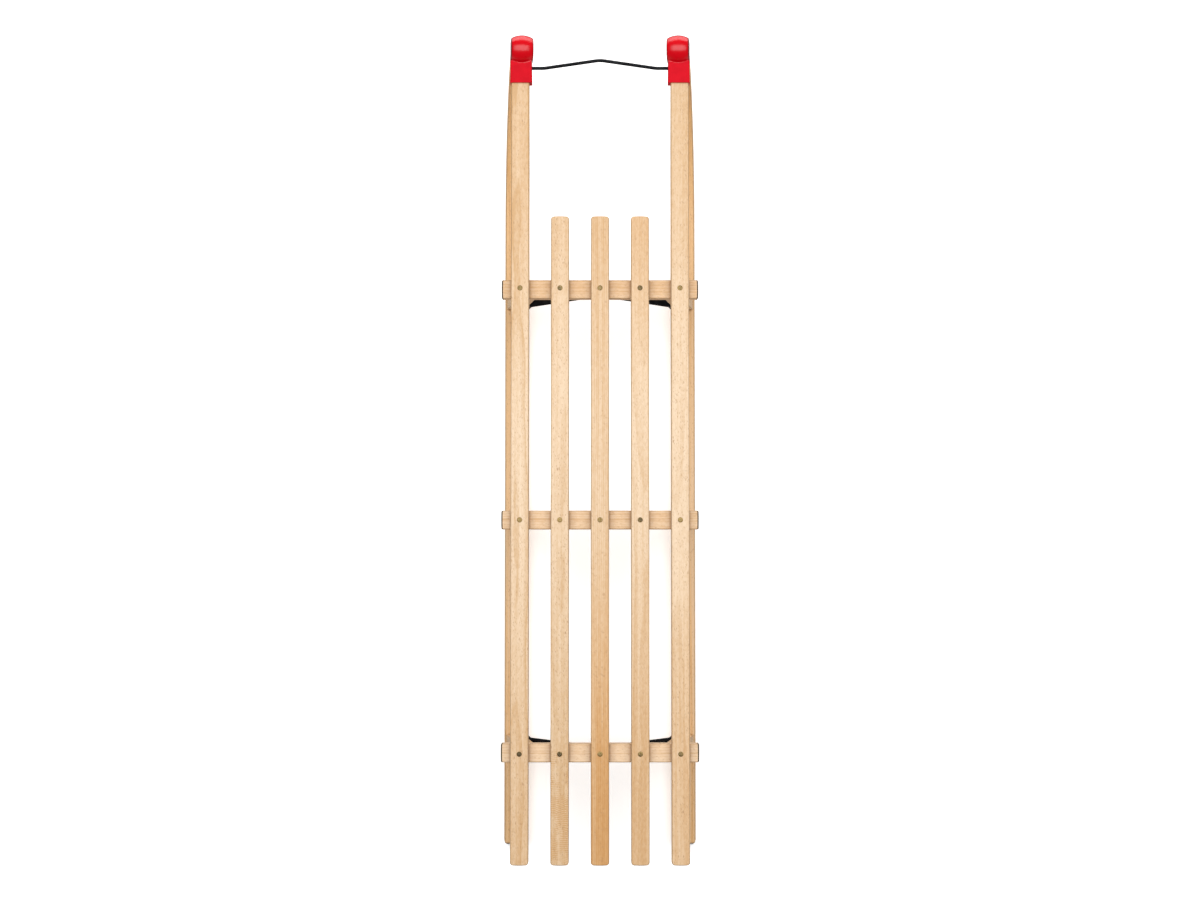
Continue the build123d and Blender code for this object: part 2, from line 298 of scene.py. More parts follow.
def new_group(name, inputs, outputs):
    """An empty shader node group: its tree, its input sockets and its output node.

    inputs gives the default of each input, which is a vector unless that is a float. Of the outputs,
    those named in VECTOR_OUTPUTS are vectors.
    """
    tree = bpy.data.node_groups.new(name, "ShaderNodeTree")
    for socket_name, default in inputs.items():
        kind = "NodeSocketFloat" if isinstance(default, float) else "NodeSocketVector"
        socket = tree.interface.new_socket(name=socket_name, in_out="INPUT", socket_type=kind)
        if default is not None:
            socket.default_value = default
    for socket_name in outputs:
        kind = "NodeSocketVector" if socket_name in VECTOR_OUTPUTS else "NodeSocketFloat"
        tree.interface.new_socket(name=socket_name, in_out="OUTPUT", socket_type=kind)
    return tree, tree.nodes.new("NodeGroupInput").outputs, tree.nodes.new("NodeGroupOutput")


def place_group(tree, name, inputs=None):
    """A group placed in a tree; its outputs."""
    return put(tree, "Group", inputs, node_tree=bpy.data.node_groups[name]).outputs


VECTOR_OUTPUTS = ("Vector", "Direction")

# ---------------------------------------------------------------- shared node groups


def make_bend_grain():
    """Coordinates that run along a bent runner: across, along and through its thickness."""
    inputs = {"Vector": None, "Bend Y": 0.3, "Bend Z": 0.2}
    tree, start, end = new_group("bend_grain", inputs, ("Vector", "Direction"))
    x, y, z = split(tree, start["Vector"])
    ahead = maths(tree, "MAXIMUM", minus(tree, y, start["Bend Y"]), 0.0)
    below = minus(tree, start["Bend Z"], z)
    turn = maths(tree, "ARCTAN2", ahead, below)
    straight = maths(tree, "MINIMUM", y, start["Bend Y"])
    along = plus(tree, straight, times(tree, turn, start["Bend Z"]))
    through = minus(tree, start["Bend Z"], hypotenuse(tree, ahead, below))
    direction = join(tree, 0.0, maths(tree, "COSINE", turn), maths(tree, "SINE", turn))
    fill(tree, end, {"Vector": join(tree, x, along, through), "Direction": direction})


def ray_flecks(tree, cells, clusters, rarity):
    """One layer of lens-shaped flecks, one to a cell at most and more of them in clusters."""
    smallest, spread, soft_edge, fading = 0.22, 0.16, 0.16, 0.5
    rays = put(tree, "TexVoronoi", {"Vector": cells, "Scale": 1.0}, feature="F1").outputs
    chance, size, _ = split(tree, rays["Color"])
    inside = minus(tree, add_up(tree, smallest, (size, spread)), rays["Distance"])
    strength = ramp(tree, plus(tree, chance, clusters), rarity, rarity + fading)
    return times(tree, ramp(tree, inside, 0.0, soft_edge), strength)


def make_beech_figure():
    """Growth rings, ray flecks, streaks and fibres about a pith on the Y axis."""
    inputs = {
        "Vector": None,
        "Ring Spacing": 0.0023,
        "Fleck Width": 0.001,
        "Fleck Length": 0.004,
        "Curl": 0.0,
        "Curl Length": 0.004,
    }
    outputs = ("Rings", "Flecks", "Streaks", "Mottle", "Fibres", "Curl")
    tree, start, end = new_group("beech_figure", inputs, outputs)
    vector = start["Vector"]
    x, y, z = split(tree, vector)
    from_pith = hypotenuse(tree, x, z)
    radius = plus(tree, from_pith, waver(tree, vector, (9, 1.6, 9), 0.016))
    radius = plus(tree, radius, waver(tree, vector, (90, 9, 90), 0.0016))
    rings = maths(tree, "DIVIDE", radius, start["Ring Spacing"])
    phase = maths(tree, "FRACT", rings)
    line = times(tree, maths(tree, "POWER", phase, 3.0), ramp(tree, phase, 0.92, 1.0, 1.0, 0.0))
    number = {"W": maths(tree, "FLOOR", rings)}
    each_ring = put(tree, "TexWhiteNoise", number, noise_dimensions="1D").outputs["Value"]

    # Rays run out from the pith, so a fleck's cell is narrow round the rings and deep across them.
    fleck_turn, fleck_slant, cells_out = 0.09, 0.12, 110.0
    round_rings = times(tree, maths(tree, "ARCTAN2", x, z), fleck_turn)
    round_rings = plus(tree, round_rings, waver(tree, vector, (60, 55, 60), 0.006))
    slanting = add_up(tree, round_rings, (y, fleck_slant))
    across = maths(tree, "DIVIDE", slanting, start["Fleck Width"])
    along = maths(tree, "DIVIDE", y, start["Fleck Length"])
    cells = join(tree, across, along, times(tree, from_pith, cells_out))
    clusters = noise(tree, vector, (70, 26, 70))
    fine_flecks = ray_flecks(tree, cells, clusters, 0.55)
    bold_cells = vector_maths(tree, "MULTIPLY", cells, (0.55, 0.7, 1.0))
    bold_flecks = ray_flecks(tree, bold_cells, clusters, 1.1)

    bent = plus(tree, y, waver(tree, vector, (90, 34, 90), 0.008))
    wave = times(tree, maths(tree, "DIVIDE", bent, start["Curl Length"]), 2 * math.pi)
    wave = add_up(tree, 0.5, (maths(tree, "SINE", wave), 0.5))
    patches = ramp(tree, noise(tree, vector, (60, 16, 60)), 0.42, 0.55)
    results = {
        "Rings": times(tree, line, add_up(tree, 0.3, (each_ring, 0.7))),
        "Flecks": maths(tree, "MAXIMUM", times(tree, fine_flecks, 0.85), bold_flecks),
        "Streaks": noise(tree, vector, (260, 2.6, 260), 3.0, 0.6),
        "Mottle": noise(tree, vector, (420, 150, 420), 2.0, 0.6),
        "Fibres": noise(tree, vector, (2600, 70, 2600), 2.0, 0.6),
        "Curl": times(tree, times(tree, wave, patches), start["Curl"]),
    }
    fill(tree, end, results)


def make_faces():
    """Masks of the faces cut across the grain, of the rounded edges and of the edges round the ends; the two
    rim masks are used to paint shade.
    """
    inputs = {"Along": (0, 1, 0), "Across": (1, 0, 0)}
    tree, start, end = new_group("faces", inputs, ("Ends", "Rims", "End Rims"))
    normal = put(tree, "TexCoord").outputs["Normal"]
    third = vector_maths(tree, "CROSS_PRODUCT", start["Along"], start["Across"])
    endwise, sideways, upwards = (
        maths(tree, "ABSOLUTE", vector_maths(tree, "DOT_PRODUCT", normal, axis, out="Value"))
        for axis in (start["Along"], start["Across"], third)
    )
    nearest = maths(tree, "MAXIMUM", maths(tree, "MAXIMUM", endwise, sideways), upwards)
    turning = times(tree, ramp(tree, endwise, 0.02, 0.12), ramp(tree, endwise, 0.97, 0.999, 1.0, 0.0))
    results = {
        "Ends": ramp(tree, endwise, 0.6, 0.9),
        "Rims": ramp(tree, nearest, 0.80, 0.97, 1.0, 0.0),
        "End Rims": turning,
    }
    fill(tree, end, results)


def make_contact_shade():
    """A mask of the places close beside another surface, where light is short; the wood's colour gets painted
    shade there.
    """
    tree, start, end = new_group("contact_shade", {"Reach": 0.01}, ("Shade",))
    inputs = {"Distance": start["Reach"]}
    open_sky = put(tree, "AmbientOcclusion", inputs, samples=8).outputs["AO"]
    fill(tree, end, {"Shade": ramp(tree, open_sky, 0.45, 0.9, 1.0, 0.0)})


def make_edge_wear():
    """A mask that is 1 along outer edges, broken up by noise."""
    inputs = {"Radius": 0.0012, "Unevenness": 0.5}
    tree, start, end = new_group("edge_wear", inputs, ("Worn",))
    place = put(tree, "TexCoord").outputs["Object"]
    bevel = put(tree, "Bevel", {"Radius": start["Radius"]}, samples=6).outputs["Normal"]
    normal = put(tree, "NewGeometry").outputs["Normal"]
    off = minus(tree, 1.0, vector_maths(tree, "DOT_PRODUCT", bevel, normal, out="Value"))
    patches = times(tree, noise(tree, place, (240, 240, 240), 4.0, 0.65), start["Unevenness"])
    patchy = minus(tree, ramp(tree, off, 0.01, 0.16), patches)
    fill(tree, end, {"Worn": ramp(tree, patchy, 0.15, 0.45)})


def make_moulded_texture():
    """The fine pebbled texture of moulded plastic or of a powder coat."""
    inputs = {"Vector": None, "Size": 0.0007}
    tree, start, end = new_group("moulded_texture", inputs, ("Height", "Cloud"))
    sizes = join(tree, start["Size"], start["Size"], start["Size"])
    cell = vector_maths(tree, "DIVIDE", start["Vector"], sizes)
    inputs = {"Vector": cell, "Scale": 1.0}
    pebbles = put(tree, "TexVoronoi", inputs, feature="SMOOTH_F1").outputs["Distance"]
    grit = put(tree, "TexNoise", {"Vector": cell, "Scale": 1.7, "Detail": 3.0}).outputs["Fac"]
    cloud = noise(tree, start["Vector"], (90, 90, 90), 3.0)
    fill(tree, end, {"Height": add_up(tree, grit, (pebbles, 0.6)), "Cloud": cloud})


def make_scratches():
    """Fine scratches along Y, for steel that has slid over snow and grit."""
    tree, start, end = new_group("scratches", {"Vector": None}, ("Lines", "Stains"))
    vector = start["Vector"]
    brushed = noise(tree, vector, (3200, 14, 900), 3.0, 0.7)
    deep = ramp(tree, noise(tree, vector, (1500, 5, 500), 1.0), 0.62, 0.7)
    patches = noise(tree, vector, (60, 22, 60), 5.0, 0.65)
    lines = plus(tree, brushed, times(tree, deep, 0.5))
    fill(tree, end, {"Lines": lines, "Stains": ramp(tree, patches, 0.48, 0.72)})


# ---------------------------------------------------------------- materials


def new_material(name):
    """An empty material; its tree, its shader and its object coordinates."""
    material = bpy.data.materials.new(name)
    material.use_nodes = True
    tree = material.node_tree
    shader = next(n for n in tree.nodes if n.type == "BSDF_PRINCIPLED")
    place = put(tree, "TexCoord").outputs["Object"]
    return material, tree, shader, place


def set_surface(tree, shader, height, depth, inputs):
    """Feeds a shader its inputs, and a bump from a height in units of depth, in metres."""
    bump = put(tree, "Bump", {"Height": height, "Distance": depth, "Strength": 1.0})
    fill(tree, shader, {**inputs, "Normal": bump.outputs["Normal"]})


def shaded(colour, factor, lift=0.0):
    """A colour times a factor, then lifted, and no brighter than 1."""
    return tuple(min(1.0, part * factor + lift) for part in colour)


def along_bend(tree, place):
    """The outputs of the group that follows the runners' bend."""
    return place_group(tree, "bend_grain", {"Vector": place, "Bend Y": bend_y(), "Bend Z": bend_z()})


GRAIN_TURN = {"X": (0, 0, math.pi / 2), "Y": (0, 0, 0), "Z": (math.pi / 2, 0, 0)}
GRAIN_ALONG = {"X": (1, 0, 0), "Y": (0, 1, 0), "Z": (0, 0, 1)}
GRAIN_ACROSS = {"X": (0, 1, 0), "Y": (1, 0, 0), "Z": (0, 1, 0), "bend": (1, 0, 0)}


def beech_material(name, grain, pith, tone=0.0, flecks=1.0, curl=0.0, heart=(0, 0, 0), end_rim_grain_and_shade=0.0):
    """Beech with its grain along one axis, or along a bend, sawn beside a pith at the given offset.

    tone darkens the whole piece, curl adds a wavy cross figure at the rear, and heart gives the shares of
    redder wood everywhere, more at the front and more at the rear. Towards both ends the wood turns darker
    and redder, partly as its own tone and partly as painted shade. The end-rim share darkens the edges
    round the sawn ends: their darker end grain, and painted shade.
    """
    wood = bpy.context.scene.sled_wood
    material, tree, shader, place = new_material(name)
    if grain == "bend":
        bent = along_bend(tree, place)
        place_along, along, turn = bent["Vector"], bent["Direction"], (0, 0, 0)
    else:
        place_along, along, turn = place, GRAIN_ALONG[grain], GRAIN_TURN[grain]
    inputs = {"Vector": place_along, "Location": pith, "Rotation": turn}
    local = put(tree, "Mapping", inputs).outputs["Vector"]
    y = split(tree, place)[1]
    # Darker and redder towards the front and the rear ends: partly the wood's own tone, partly painted shade
    # where the light falls off.
    front_tone_and_shade = ramp(tree, y, 0.02, 0.42)
    rear_tone_and_shade = ramp(tree, y, -0.05, -0.50)
    inputs = {
        "Vector": local,
        "Ring Spacing": wood.ring,
        "Fleck Width": wood.fleck_width,
        "Fleck Length": wood.fleck_length,
        "Curl": times(tree, ramp(tree, y, -0.38, -0.44), curl),
        "Curl Length": wood.curl,
    }
    figure = place_group(tree, "beech_figure", inputs)
    faces = place_group(tree, "faces", {"Along": along, "Across": GRAIN_ACROSS[grain]})
    # Painted shade close beside other pieces, from an ambient-occlusion mask.
    shade = place_group(tree, "contact_shade", {"Reach": 0.005})["Shade"]

    depth = add_up(
        tree,
        tone,
        (ramp(tree, figure["Streaks"], 0.3, 0.8), 0.32),
        (front_tone_and_shade, 0.42),
        (rear_tone_and_shade, 0.25),
        (figure["Rings"], 0.7),
        (ramp(tree, figure["Mottle"], 0.35, 0.65), 0.22),
        (figure["Fibres"], 0.16),
        (figure["Curl"], 0.5),
    )
    uneven = ramp(tree, figure["Streaks"], 0.3, 0.7, 0.6, 1.3)
    redder = times(tree, add_up(tree, heart[0], (front_tone_and_shade, heart[1]), (rear_tone_and_shade, heart[2])), uneven)
    redder = add_up(tree, redder, (figure["Curl"], 0.5))
    paint = mix_colour(tree, depth, wood.light, wood.dark)
    paint = mix_colour(tree, redder, paint, wood.heart, "MULTIPLY")
    # Flecks and end grain are the wood's own; the rims and the corners are painted shade, and the end rims
    # are darker end grain with painted shade.
    layers = (
        (figure["Flecks"], 0.74 * flecks, wood.fleck),
        (faces["Ends"], 0.7, wood.end),
        (faces["Rims"], 0.6, wood.rim),
        (faces["End Rims"], end_rim_grain_and_shade, wood.end_rim_grain_and_shade),
        (shade, 0.7, wood.corner),
    )
    for mask, strength, tint in layers:
        if strength:
            paint = mix_colour(tree, times(tree, mask, strength), paint, tint)

    height = add_up(tree, minus(tree, figure["Fibres"], figure["Flecks"]), (figure["Rings"], -0.6))
    lacquer = wood.gloss - 0.06
    inputs = {
        "Base Color": paint,
        "Roughness": add_up(tree, lacquer, (figure["Fibres"], 0.12), (faces["Ends"], 0.2)),
        "Specular IOR Level": 0.25,
    }
    set_surface(tree, shader, height, 0.00005, inputs)
    return material


def cap_material():
    """Moulded red plastic: a glossy nose and a finely textured sleeve."""
    plastic = bpy.context.scene.sled_plastic
    material, tree, shader, place = new_material("cap_red")

    # The nose is where a point lies no further from the nose's axis than its crowned surface.
    x, y, z = split(tree, place)
    centre = nose_centre()
    beside = minus(tree, maths(tree, "ABSOLUTE", x), centre.x)
    higher = minus(tree, z, centre.z)
    leaned = add_up(tree, beside, (higher, math.tan(nose_lean())))
    behind = maths(tree, "MAXIMUM", minus(tree, centre.y, y), 0.0)
    above = maths(tree, "MAXIMUM", higher, 0.0)
    away = vector_maths(tree, "LENGTH", join(tree, 0.0, behind, above), out="Value")
    crown = add_up(tree, plastic.nose_radius, (times(tree, leaned, leaned), -0.5 / crown_radius()))
    nose = ramp(tree, minus(tree, away, crown), 0.0009, 0.0014, 1.0, 0.0)

    texture = place_group(tree, "moulded_texture", {"Vector": place, "Size": plastic.texture})
    worn = place_group(tree, "edge_wear", {"Radius": 0.0009, "Unevenness": 0.5})["Worn"]
    cloudy = ramp(tree, texture["Cloud"], 0.3, 0.7)
    paint = mix_colour(tree, cloudy, plastic.red, shaded(plastic.red, 0.88))
    paint = mix_colour(tree, nose, paint, plastic.nose_red)
    paint = mix_colour(tree, times(tree, worn, 0.2), paint, shaded(plastic.red, 1.25, 0.02))
    # Painted shade: the nose's colour is dimmed along its flat sides and where it turns away from the view.
    turned_away = put(tree, "LayerWeight", {"Blend": 0.5}).outputs["Facing"]
    off = minus(tree, maths(tree, "ABSOLUTE", leaned), plastic.nose_width / 2)
    rim = times(tree, ramp(tree, off, -0.0017, -0.0009), ramp(tree, off, -0.0001, 0.0, 1.0, 0.2))
    nose_outline_shade = times(tree, maths(tree, "MAXIMUM", ramp(tree, turned_away, 0.6, 0.95), rim), nose)
    sleeve_rough = add_up(tree, plastic.sleeve_roughness, (texture["Cloud"], 0.08))
    nose_rough = add_up(tree, plastic.nose_roughness, (texture["Cloud"], 0.06))
    quiet = ramp(tree, nose, 0.0, 1.0, 1.0, 0.08)
    inputs = {
        "Base Color": mix_colour(tree, nose_outline_shade, paint, shaded(plastic.nose_red, 0.35)),
        "Specular IOR Level": mix_value(tree, nose, 0.05, 0.36),
        "Roughness": mix_value(tree, nose, sleeve_rough, nose_rough),
    }
    set_surface(tree, shader, times(tree, texture["Height"], quiet), 0.00012, inputs)
    return material


def black_material(name, texture_size, roughness):
    """A black coat on steel, worn a little along its edges."""
    steel = bpy.context.scene.sled_steel
    material, tree, shader, place = new_material(name)
    texture = place_group(tree, "moulded_texture", {"Vector": place, "Size": texture_size})
    edge = place_group(tree, "edge_wear", {"Radius": 0.0007, "Unevenness": 0.9})
    worn = times(tree, edge["Worn"], 0.3)
    cloudy = ramp(tree, texture["Cloud"], 0.3, 0.75)
    paint = mix_colour(tree, cloudy, steel.black, shaded(steel.black, 1.9, 0.004))
    inputs = {
        "Base Color": mix_colour(tree, worn, paint, shaded(steel.bright, 0.5)),
        "Metallic": worn,
        "Specular IOR Level": 0.03,
        "Roughness": add_up(tree, roughness, (texture["Cloud"], 0.14)),
    }
    set_surface(tree, shader, texture["Height"], texture_size * 0.05, inputs)
    return material


def sole_material():
    """Bright rolled steel with scratches along it and a few dull stains."""
    steel = bpy.context.scene.sled_steel
    material, tree, shader, place = new_material("sole_steel")
    wear = place_group(tree, "scratches", {"Vector": along_bend(tree, place)["Vector"]})
    stained = times(tree, wear["Stains"], 0.6)
    inputs = {
        "Base Color": mix_colour(tree, stained, steel.bright, shaded(steel.bright, 0.62)),
        "Metallic": 1.0,
        "Roughness": add_up(tree, 0.2, (wear["Lines"], 0.22), (wear["Stains"], 0.15)),
    }
    set_surface(tree, shader, wear["Lines"], 0.00003, inputs)
    return material


def zinc_material():
    """Yellow zinc on steel screws, each screw a little different."""
    steel = bpy.context.scene.sled_steel
    material, tree, shader, place = new_material("yellow_zinc")
    texture = place_group(tree, "moulded_texture", {"Vector": place, "Size": 0.0004})
    edge = place_group(tree, "edge_wear", {"Radius": 0.0002, "Unevenness": 0.6})
    each_screw = noise(tree, place, (31, 31, 31), 0.0)
    patches = plus(tree, each_screw, noise(tree, place, (700, 700, 700), 3.0))
    paint = mix_colour(tree, ramp(tree, patches, 0.8, 1.2), steel.zinc, shaded(steel.zinc, 0.3))
    inputs = {
        "Base Color": mix_colour(tree, times(tree, edge["Worn"], 0.5), paint, steel.bright),
        "Metallic": 0.75,
        "Roughness": add_up(tree, 0.36, (texture["Cloud"], 0.2)),
    }
    set_surface(tree, shader, texture["Height"], 0.00001, inputs)
    return material


# ---------------------------------------------------------------- the caps' form


def nose_centre():
    """The middle of the right cap's nose: its axis runs across the sled through this point."""
    plastic = bpy.context.scene.sled_plastic
    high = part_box("tip_cap_right")[1]
    height = high.z - plastic.nose_radius
    return Vector((sole_middle_x("runner_sole_right", height), high.y - plastic.nose_radius, height))


def nose_lean():
    """How far the right runner, and the nose on it, lean in."""
    centre = nose_centre()
    return math.atan((sole_middle_x("runner_sole_right", 0) - centre.x) / centre.z)


def crown_radius():
    """Radius of the arc that crowns the nose across its width."""
    plastic = bpy.context.scene.sled_plastic
    rise = plastic.nose_radius - plastic.nose_side
    return ((plastic.nose_width / 2) ** 2 + rise**2) / (2 * rise)


def dress(node, material):
    """Gives a solid of the frame its material."""
    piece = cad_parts[node]
    piece.data.materials.clear()
    piece.data.materials.append(material)


# ---------------------------------------------------------------- places from the frame


def middle(node):
    """The middle of a solid's box."""
    low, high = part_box(node)
    return (low + high) / 2


def bend_z():
    """Height of the middle of the runners' front bend."""
    return bpy.context.scene.sled_screws.sole_bend


def bend_y():
    """Where the runners' front bend starts, from the sole's foremost point."""
    radius = bend_z()
    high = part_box("runner_sole_right")[1]
    return high.y - math.sqrt(radius**2 - (radius - high.z) ** 2)


def surface(node, start, direction):
    """Where a ray first meets a solid, and which way its surface faces there."""
    hit, point, normal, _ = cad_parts[node].ray_cast(Vector(start), Vector(direction))
    if not hit:
        raise RuntimeError(f"the ray misses {node}")
    return point, normal


def sole_middle_x(sole, height):
    """The middle of a sole in X at a height: the runner leans in as it rises."""
    low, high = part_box(sole)
    foot = [v.co.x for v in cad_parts[sole].data.vertices if v.co.z < 1e-5]
    half = (max(foot) - min(foot)) / 2
    side = math.copysign(1, middle(sole).x)
    outer, inner = (high.x, low.x) if side > 0 else (low.x, high.x)
    foot_x, tip_x = outer - side * half, inner + side * half
    return foot_x + (tip_x - foot_x) * height / high.z


def sole_screw_places(sole):
    """Place along the sled, height and turn of each screw in a sole, from the heel to the bend."""
    sizes = bpy.context.scene.sled_screws
    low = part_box(sole)[0]
    first, last = low.y + sizes.sole_first, bend_y() - sizes.sole_first
    gaps = math.ceil((last - first) / sizes.sole_pitch)
    places = [(low.y, sizes.heel_screw, -math.pi / 2)]
    places += [(first + (last - first) * step / gaps, 0, 0) for step in range(gaps + 1)]
    for turn in (sizes.bend_screw_low, sizes.bend_screw_high):
        places.append((bend_y() + bend_z() * math.sin(turn), bend_z() * (1 - math.cos(turn)), turn))
    return places


# ---------------------------------------------------------------- modelling helpers


def start_piece():
    """Leaves edit mode and deselects everything."""
    if bpy.context.object and bpy.context.object.mode != "OBJECT":
        bpy.ops.object.mode_set(mode="OBJECT")
    bpy.ops.object.select_all(action="DESELECT")


def open_piece(piece):
    """Opens a piece in edit mode, all of it selected."""
    start_piece()
    bpy.context.view_layer.objects.active = piece
    bpy.ops.object.mode_set(mode="EDIT")
    bpy.ops.mesh.select_all(action="SELECT")


def close_piece(gap):
    """Merges the points of the open piece that lie closer than a gap, and leaves edit mode."""
    bpy.ops.mesh.select_all(action="SELECT")
    bpy.ops.mesh.remove_doubles(threshold=gap)
    bpy.ops.object.mode_set(mode="OBJECT")


def open_disc(diameter, low, high):
    """A new round disc between two heights, open in edit mode."""
    start_piece()
    bpy.ops.mesh.primitive_cylinder_add(
        vertices=SCREW_SIDES, radius=diameter / 2, depth=high - low, location=(0, 0, (low + high) / 2)
    )
    bpy.ops.object.transform_apply(location=True, rotation=False, scale=False)
    bpy.ops.object.mode_set(mode="EDIT")


def pick(kind, test):
    """Selects, in edit mode, only the faces or edges that pass a test."""
    bpy.ops.mesh.select_mode(type=kind)
    bpy.ops.mesh.select_all(action="DESELECT")
    data = bpy.context.object.data
    mesh = bmesh.from_edit_mesh(data)
    for item in mesh.faces if kind == "FACE" else mesh.edges:
        item.select_set(test(item))
    bmesh.update_edit_mesh(data)


def is_cap(height):
    """A test for the flat face at a height."""
    level = 0.99
    return lambda face: abs(face.calc_center_median().z - height) < SAME_PLACE and abs(face.normal.z) > level


def is_rim(axis, place):
    """A test for the edges that lie at a place on an axis, 0 for X and 2 for Z."""
    return lambda edge: all(abs(v.co[axis] - place) < SAME_PLACE for v in edge.verts)


def round_edges(radius, steps):
    """Rounds the selected edges of the open piece."""
    bpy.ops.mesh.bevel(offset=radius, segments=steps, affect="EDGES")


def grow(up, factor):
    """Extrudes the selected face upwards and scales the new face."""
    bpy.ops.mesh.extrude_region_move(TRANSFORM_OT_translate={"value": (0, 0, up)})
    bpy.ops.transform.resize(value=(factor, factor, 1))


def smooth(piece, degrees=35):
    """Shades a piece smooth, apart from its edges sharper than an angle."""
    start_piece()
    piece.select_set(True)
    bpy.context.view_layer.objects.active = piece
    bpy.ops.object.shade_smooth_by_angle(angle=math.radians(degrees))


def finish_piece(name):
    """Closes a modelled piece: its object back in object mode, named and smoothed."""
    bpy.ops.mesh.select_all(action="SELECT")
    bpy.ops.mesh.remove_doubles(threshold=SAME_PLACE)
    bpy.ops.mesh.normals_make_consistent(inside=False)
    bpy.ops.object.mode_set(mode="OBJECT")
    piece = bpy.context.object
    piece.name = name
    smooth(piece)
    return piece


def apply_modifier(piece, kind, **settings):
    """Adds a modifier to a piece and applies it."""
    modifier = piece.modifiers.new(kind.lower(), kind)
    for name, value in settings.items():
        setattr(modifier, name, value)
    bpy.context.view_layer.objects.active = piece
    bpy.ops.object.modifier_apply(modifier=modifier.name)


def combine(piece, other, operation, crossing=False):
    """Joins another piece to this one or cuts it away, and drops it; crossing if it crosses itself."""
    apply_modifier(piece, "BOOLEAN", object=other, operation=operation, solver="EXACT", use_self=crossing)
    bpy.data.meshes.remove(other.data)


def crowned_nose(drop):
    """A half round nose on the origin, crowned across its width, its socket drawn down by drop."""
    plastic = bpy.context.scene.sled_plastic
    start_piece()
    bpy.ops.mesh.primitive_cylinder_add(
        vertices=NOSE_SIDES,
        radius=plastic.nose_side,
        depth=plastic.nose_width,
        rotation=(0, math.pi / 2, 0),
    )
    bpy.ops.object.transform_apply(location=False, rotation=True, scale=False)
    bpy.ops.object.mode_set(mode="EDIT")
    arc = crown_radius()
    places = [plastic.nose_width * (ring / NOSE_RINGS - 0.5) for ring in range(1, NOSE_RINGS)]
    for x in places:
        bpy.ops.mesh.select_all(action="SELECT")
        bpy.ops.mesh.bisect(plane_co=(x, 0, 0), plane_no=(1, 0, 0))
    for x in places:
        pick("EDGE", is_rim(0, x))
        swell = (plastic.nose_radius - arc + math.sqrt(arc**2 - x**2)) / plastic.nose_side
        bpy.ops.transform.resize(value=(1, swell, swell), center_override=(0, 0, 0))
    half = plastic.nose_width / 2
    pick("EDGE", lambda edge: is_rim(0, half)(edge) or is_rim(0, -half)(edge))
    round_edges(plastic.nose_edge, EDGE_STEPS)
    bpy.ops.mesh.select_all(action="SELECT")
    bpy.ops.mesh.bisect(plane_co=(0, 0, 0), plane_no=(0, 0, 1), use_fill=True, clear_inner=True)
    pick("FACE", is_cap(0.0))
    backwards = 0.04 * drop
    bpy.ops.mesh.extrude_region_move(TRANSFORM_OT_translate={"value": (0, -backwards, -drop)})
    return finish_piece("nose")


def sleeve_block(low, high):
    """A box between two corners, narrower at its front, with rounded lengthwise edges."""
    plastic = bpy.context.scene.sled_plastic
    start_piece()
    bpy.ops.mesh.primitive_cube_add(size=1)
    bpy.ops.object.mode_set(mode="EDIT")
    bpy.ops.mesh.select_all(action="SELECT")
    bpy.ops.transform.resize(value=high - low, center_override=(0, 0, 0))
    bpy.ops.transform.translate(value=(low + high) / 2)
    pick("FACE", lambda face: face.normal.y > 0.99)
    width = high.x - low.x
    narrower = (width - 2 * plastic.taper) / width
    bpy.ops.transform.resize(value=(narrower, 1, 1), center_override=(low + high) / 2)
    pick("EDGE", lambda edge: abs(edge.verts[0].co.y - edge.verts[1].co.y) > 1e-3)
    round_edges(plastic.nose_edge, EDGE_STEPS)
    return finish_piece("sleeve")


def copy_of(piece):
    """A copy of a piece with a mesh of its own."""
    copied = piece.copy()
    copied.data = piece.data.copy()
    bpy.context.scene.collection.objects.link(copied)
    return copied


def cutter_of(node):
    """A closed copy of a solid of the frame, to cut its place into a piece."""
    cutter = copy_of(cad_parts[node])
    open_piece(cutter)
    close_piece(SAME_PLACE)
    return cutter


def trim(piece, plane, outward):
    """Cuts a piece off level at a plane and closes it there."""
    open_piece(piece)
    bpy.ops.mesh.bisect(plane_co=plane, plane_no=outward, use_fill=True, clear_outer=True)
    close_piece(SAME_ON_CUT)


def moulded_cap():
    """The right cap, its nose and sleeve moulded in one, hollowed by what it holds."""
    plastic = bpy.context.scene.sled_plastic
    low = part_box("tip_cap_right")[0]
    rail_low, rail_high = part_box("rail_right")
    centre = nose_centre()
    spare = 0.003
    piece = crowned_nose(centre.z - low.z + spare)
    piece.data.transform(Matrix.Translation(centre) @ Matrix.Rotation(-nose_lean(), 4, "Y"))
    rear = Vector((rail_low.x - plastic.wall_inner, low.y - spare, low.z - spare))
    front = Vector((rail_high.x + plastic.wall_outer, centre.y, rail_high.z + plastic.wall_over))
    combine(piece, sleeve_block(rear, front), "UNION")
    apply_modifier(piece, "REMESH", mode="VOXEL", voxel_size=plastic.grid, use_smooth_shade=True)
    apply_modifier(piece, "SMOOTH", iterations=plastic.softness)
    trim(piece, (0, 0, low.z), (0, 0, -1))
    trim(piece, (0, low.y, 0), (0, -1, 0))
    apply_modifier(piece, "DECIMATE", ratio=KEPT_DETAIL)
    for held in ("rail_right", "runner_right", "pull_bow"):
        combine(piece, cutter_of(held), "DIFFERENCE")
    smooth(piece)
    return piece


